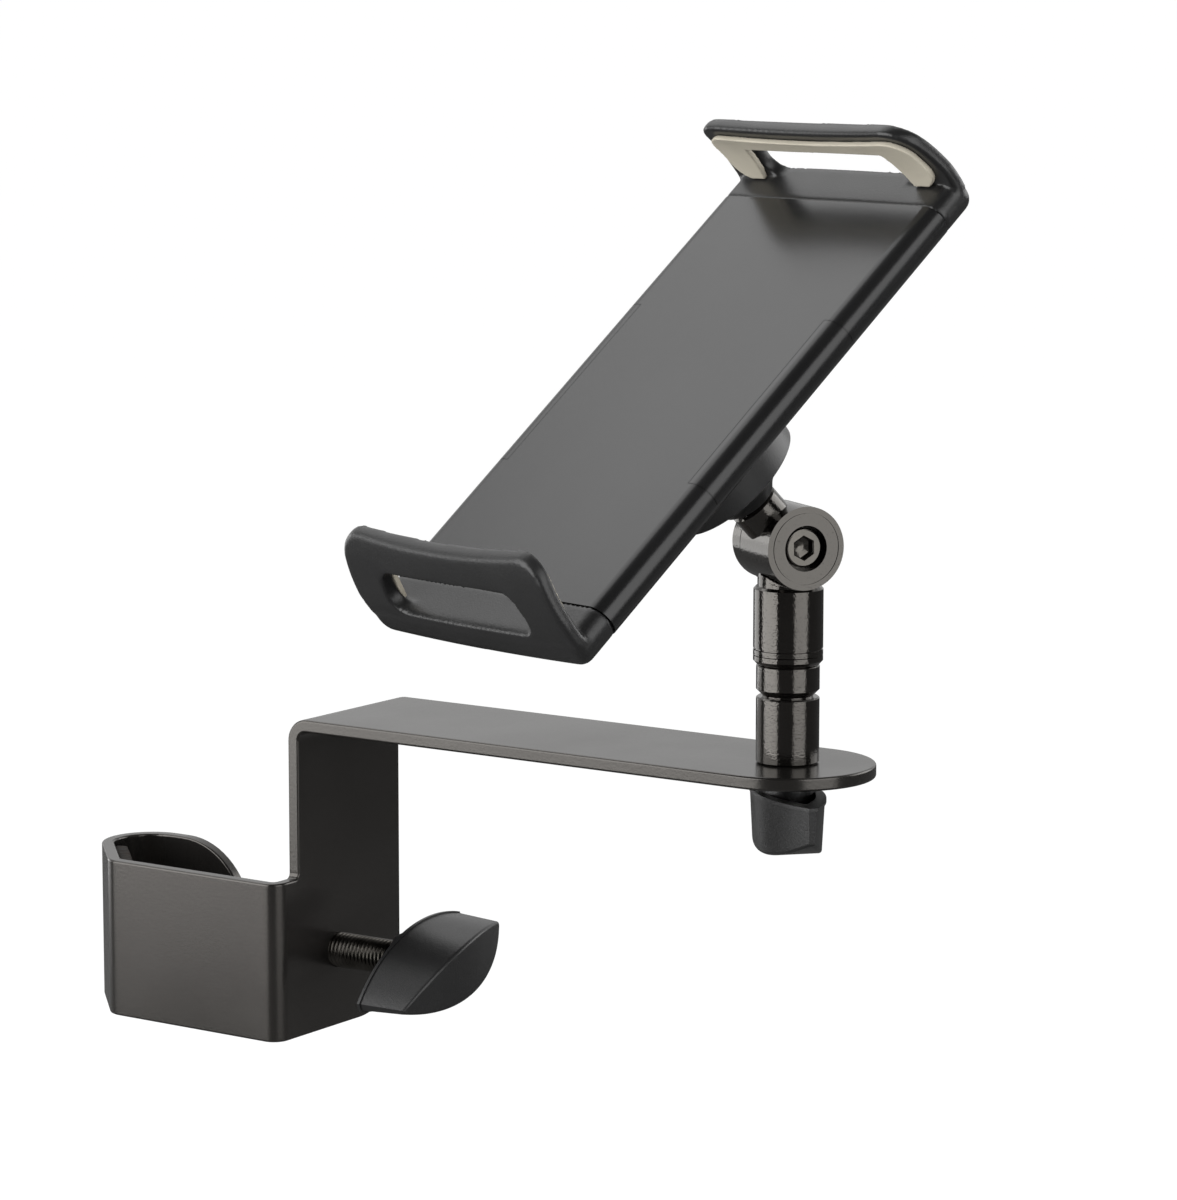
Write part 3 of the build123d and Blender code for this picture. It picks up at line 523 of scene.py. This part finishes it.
buildShellScrews()
print("shell screws done")


# Glossy and transmission rays see a darker room than the camera does
def addMirrorMask(tree, rays):
    mask = addNode(tree, "ShaderNodeMath", operation="MAXIMUM")
    joinSockets(tree, rays.outputs["Is Glossy Ray"], mask.inputs[0])
    joinSockets(tree, rays.outputs["Is Transmission Ray"], mask.inputs[1])
    return mask


# Floor: white to the camera, darker in reflections and as a bounce on the object
paleFloor = dict(level=-0.3, size=60.0, cameraWhite=0.85, mirrorWhite=0.12, bounceWhite=0.45,
                 glowShare=0.88, glowStrength=1.07, roughness=0.9)


def buildFloor():
    size = paleFloor["size"]
    mesh = bpy.data.meshes.new("floor")
    corners = [(-size, -size), (size, -size), (size, size), (-size, size)]
    mesh.from_pydata([(x, y, paleFloor["level"]) for x, y in corners], [], [(0, 1, 2, 3)])
    material = bpy.data.materials.new("paleFloor")
    material.use_nodes = True
    tree = material.node_tree
    shader = tree.nodes["Principled BSDF"]
    shader.inputs["Roughness"].default_value = paleFloor["roughness"]
    shader.inputs["Specular IOR Level"].default_value = 0.0
    glow = addNode(tree, "ShaderNodeEmission")
    glow.inputs["Strength"].default_value = paleFloor["glowStrength"]
    blendShaders = addNode(tree, "ShaderNodeMixShader")
    rays = addNode(tree, "ShaderNodeLightPath")
    share = addNode(tree, "ShaderNodeMath", operation="MULTIPLY")
    share.inputs[1].default_value = paleFloor["glowShare"]
    joinSockets(tree, rays.outputs["Is Camera Ray"], share.inputs[0])
    joinSockets(tree, share.outputs["Value"], blendShaders.inputs["Fac"])
    mirrored = addMirrorMask(tree, rays)
    mirroredPaint = addNode(tree, "ShaderNodeMix", data_type="FLOAT")
    mirroredPaint.inputs["A"].default_value = paleFloor["bounceWhite"]
    mirroredPaint.inputs["B"].default_value = paleFloor["mirrorWhite"]
    joinSockets(tree, mirrored.outputs["Value"], mirroredPaint.inputs["Factor"])
    paint = addNode(tree, "ShaderNodeMix", data_type="FLOAT")
    paint.inputs["B"].default_value = paleFloor["cameraWhite"]
    joinSockets(tree, rays.outputs["Is Camera Ray"], paint.inputs["Factor"])
    joinSockets(tree, mirroredPaint.outputs["Result"], paint.inputs["A"])
    joinSockets(tree, paint.outputs["Result"], shader.inputs["Base Color"])
    joinSockets(tree, shader.outputs["BSDF"], blendShaders.inputs[1])
    joinSockets(tree, glow.outputs["Emission"], blendShaders.inputs[2])
    joinSockets(tree, blendShaders.outputs["Shader"], tree.nodes["Material Output"].inputs["Surface"])
    mesh.materials.append(material)
    floor = bpy.data.objects.new("floor", mesh)
    bpy.context.scene.collection.objects.link(floor)


# Room: white to the camera, a wash in reflections that brightens to one side, a plain level elsewhere
room = dict(ambient=0.6, dark=0.02, bright=0.72, brightSide=(-0.58, 0.80, 0.15), washEnd=0.85)


def buildWorld():
    world = bpy.data.worlds.new("studio")
    bpy.context.scene.world = world
    world.use_nodes = True
    tree = world.node_tree
    backdrop = tree.nodes["Background"]
    backdrop.inputs["Color"].default_value = (1, 1, 1, 1)
    place = addNode(tree, "ShaderNodeTexCoord")
    lean = addNode(tree, "ShaderNodeVectorMath", operation="DOT_PRODUCT")
    lean.inputs[1].default_value = room["brightSide"]
    wash = addNode(tree, "ShaderNodeMapRange")
    wash.inputs["From Min"].default_value = 0.0
    wash.inputs["From Max"].default_value = room["washEnd"]
    wash.inputs["To Min"].default_value = room["dark"]
    wash.inputs["To Max"].default_value = room["bright"]
    rays = addNode(tree, "ShaderNodeLightPath")
    mirrored = addMirrorMask(tree, rays)
    level = addNode(tree, "ShaderNodeMix", data_type="FLOAT")
    level.inputs["A"].default_value = room["ambient"]
    seen = addNode(tree, "ShaderNodeMix", data_type="FLOAT")
    seen.inputs["B"].default_value = 1.0
    joinSockets(tree, place.outputs["Generated"], lean.inputs[0])
    joinSockets(tree, lean.outputs["Value"], wash.inputs["Value"])
    joinSockets(tree, mirrored.outputs["Value"], level.inputs["Factor"])
    joinSockets(tree, wash.outputs["Result"], level.inputs["B"])
    joinSockets(tree, rays.outputs["Is Camera Ray"], seen.inputs["Factor"])
    joinSockets(tree, level.outputs["Result"], seen.inputs["A"])
    joinSockets(tree, seen.outputs["Result"], backdrop.inputs["Strength"])


# Softboxes stand round the object: compass and height in degrees, distance and size in metres
softboxes = {
    "leftBox": dict(compass=-122, height=10, distance=1.5, size=(1.75, 1.9), radiance=3.2),
    "rightBox": dict(compass=-13, height=12, distance=1.6, size=(1.35, 1.9), radiance=2.0),
    "backLeftTop": dict(compass=158, height=57, distance=1.5, size=(1.2, 1.0), radiance=1.2),
    "lowLeftBox": dict(compass=172, height=-1, distance=1.4, size=(0.9, 0.65), radiance=1.7),
    "rearBox": dict(compass=55, height=15, distance=1.6, size=(1.2, 0.9), radiance=2.2),
}
lightAim = Vector((0.11, -0.01, 0.09))


def buildLights():
    for name, values in softboxes.items():
        compass, height = math.radians(values["compass"]), math.radians(values["height"])
        away = Vector((math.cos(compass) * math.cos(height), math.sin(compass) * math.cos(height),
                       math.sin(height)))
        lamp = bpy.data.lights.new(name, "AREA")
        lamp.shape = "RECTANGLE"
        lamp.size, lamp.size_y = values["size"]
        lamp.energy = values["radiance"] * math.pi * values["size"][0] * values["size"][1]
        light = bpy.data.objects.new(name, lamp)
        light.visible_camera = False
        turn = away.to_track_quat("Z", "Y").to_matrix().to_4x4()
        light.matrix_world = Matrix.Translation(lightAim + away * values["distance"]) @ turn
        bpy.context.scene.collection.objects.link(light)


# Camera at the photograph's viewing angle: eye in metres, angles in degrees
photoCamera = dict(eye=(0.76563, -0.91139, 0.26975), yaw=34.548, pitch=8.585, roll=0.024,
                   focalPixels=4375.9, imageHeight=1200, sensor=36.0)


def buildCamera():
    yaw, pitch, roll = (math.radians(photoCamera[name]) for name in ("yaw", "pitch", "roll"))
    lens = bpy.data.cameras.new("photoCamera")
    lens.sensor_width = photoCamera["sensor"]
    lens.lens = photoCamera["focalPixels"] * photoCamera["sensor"] / photoCamera["imageHeight"]
    camera = bpy.data.objects.new("photoCamera", lens)
    turn = Matrix.Rotation(yaw, 4, "Z") @ Matrix.Rotation(math.pi / 2 - pitch, 4, "X")
    camera.matrix_world = Matrix.Translation(Vector(photoCamera["eye"])) @ turn @ Matrix.Rotation(roll, 4, "Z")
    bpy.context.scene.collection.objects.link(camera)
    bpy.context.scene.camera = camera


buildFloor()
buildWorld()
buildLights()
buildCamera()
bpy.context.scene.view_settings.view_transform = "Standard"
print("studio built")
